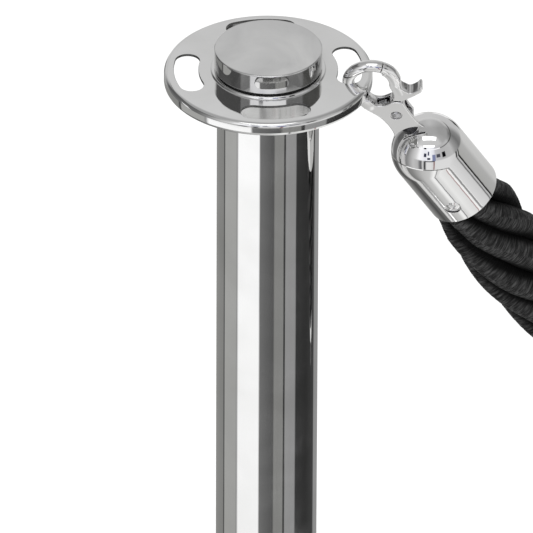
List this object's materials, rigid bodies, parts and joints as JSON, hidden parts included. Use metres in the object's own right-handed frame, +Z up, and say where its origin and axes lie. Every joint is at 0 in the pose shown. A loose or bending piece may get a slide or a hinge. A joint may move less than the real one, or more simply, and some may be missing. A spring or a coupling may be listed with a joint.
{
  "type": "rope_barrier_stanchion",
  "caption": "Rope barrier stanchion: polished post on a weighted round base, slotted ring plate under a flat cap, and a short twisted rope with a sprung snap hook at each end.",
  "frame": {"origin": "centre of the round base, on the floor plane under the rubber ring", "axes": "+Z up along the post; the hooked rope leaves towards +X and a little towards +Y"},
  "size_m": [0.4654, 0.32, 0.9623],
  "materials": {
    "polished_steel": "mirror-polished stainless steel",
    "chromed_zinc": "bright chrome plating on die-cast zinc",
    "zinc_steel": "zinc-plated steel",
    "spring_wire": "bright spring wire",
    "grey_iron": "dark painted grey iron",
    "black_rubber": "matt black rubber",
    "black_rope": "twisted black polypropylene rope with a soft sheen"
  },
  "bodies": {
    "stanchion": {"floor_ring": "black_rubber", "base_weight": "grey_iron", "base_cover": "polished_steel", "base_collar": "polished_steel", "tie_bolt": "zinc_steel", "base_washer": "zinc_steel", "bottom_plug": "zinc_steel", "post_tube": "polished_steel", "top_plug": "zinc_steel", "ring_plate": "polished_steel", "cap_gasket": "black_rubber", "top_cap": "polished_steel", "cap_stud": "zinc_steel"},
    "near_hook": {"hook_body": "chromed_zinc", "gate_pin": "chromed_zinc", "gate_spring": "spring_wire"},
    "near_gate": {"hook_gate": "chromed_zinc"},
    "rope_line": {"swivel_stud": "chromed_zinc", "swivel_nut": "zinc_steel", "rope_end_cap": "chromed_zinc", "cap_screws": "chromed_zinc", "rope": "black_rope", "far_swivel_stud": "chromed_zinc", "far_swivel_nut": "zinc_steel", "far_end_cap": "chromed_zinc", "far_cap_screws": "chromed_zinc"},
    "far_hook": {"far_hook_body": "chromed_zinc", "far_gate_pin": "chromed_zinc", "far_gate_spring": "spring_wire"},
    "far_gate": {"far_hook_gate": "chromed_zinc"}
  },
  "joints": [
    {"name": "hook_swing", "type": "hinge", "parent": "stanchion", "child": "near_hook", "pos_m": [0.0486, -0.0081, 0.947], "axis": [0.16, 0.9871, 0], "range_deg": [-70, 33]},
    {"name": "near_gate_open", "type": "hinge", "parent": "near_hook", "child": "near_gate", "pos_m": [0.0635, 0.0003, 0.9261], "axis": [0.0046, 0.9472, 0.3207], "range_deg": [0, 28], "stiffness_Nm_per_rad": 0.06, "springref_deg": -17.19},
    {"name": "rope_swivel", "type": "hinge", "parent": "near_hook", "child": "rope_line", "pos_m": [0.0635, 0.0003, 0.9261], "axis": [-0.4725, -0.2806, 0.8355], "continuous": true},
    {"name": "far_swivel_turn", "type": "hinge", "parent": "rope_line", "child": "far_hook", "pos_m": [0.2765, 0.128, 0.622], "axis": [0.6166, 0.3705, -0.6947], "continuous": true},
    {"name": "far_gate_open", "type": "hinge", "parent": "far_hook", "child": "far_gate", "pos_m": [0.2765, 0.128, 0.622], "axis": [-0.515, 0.8572, 0], "range_deg": [0, 28], "stiffness_Nm_per_rad": 0.06, "springref_deg": -17.19}
  ]
}
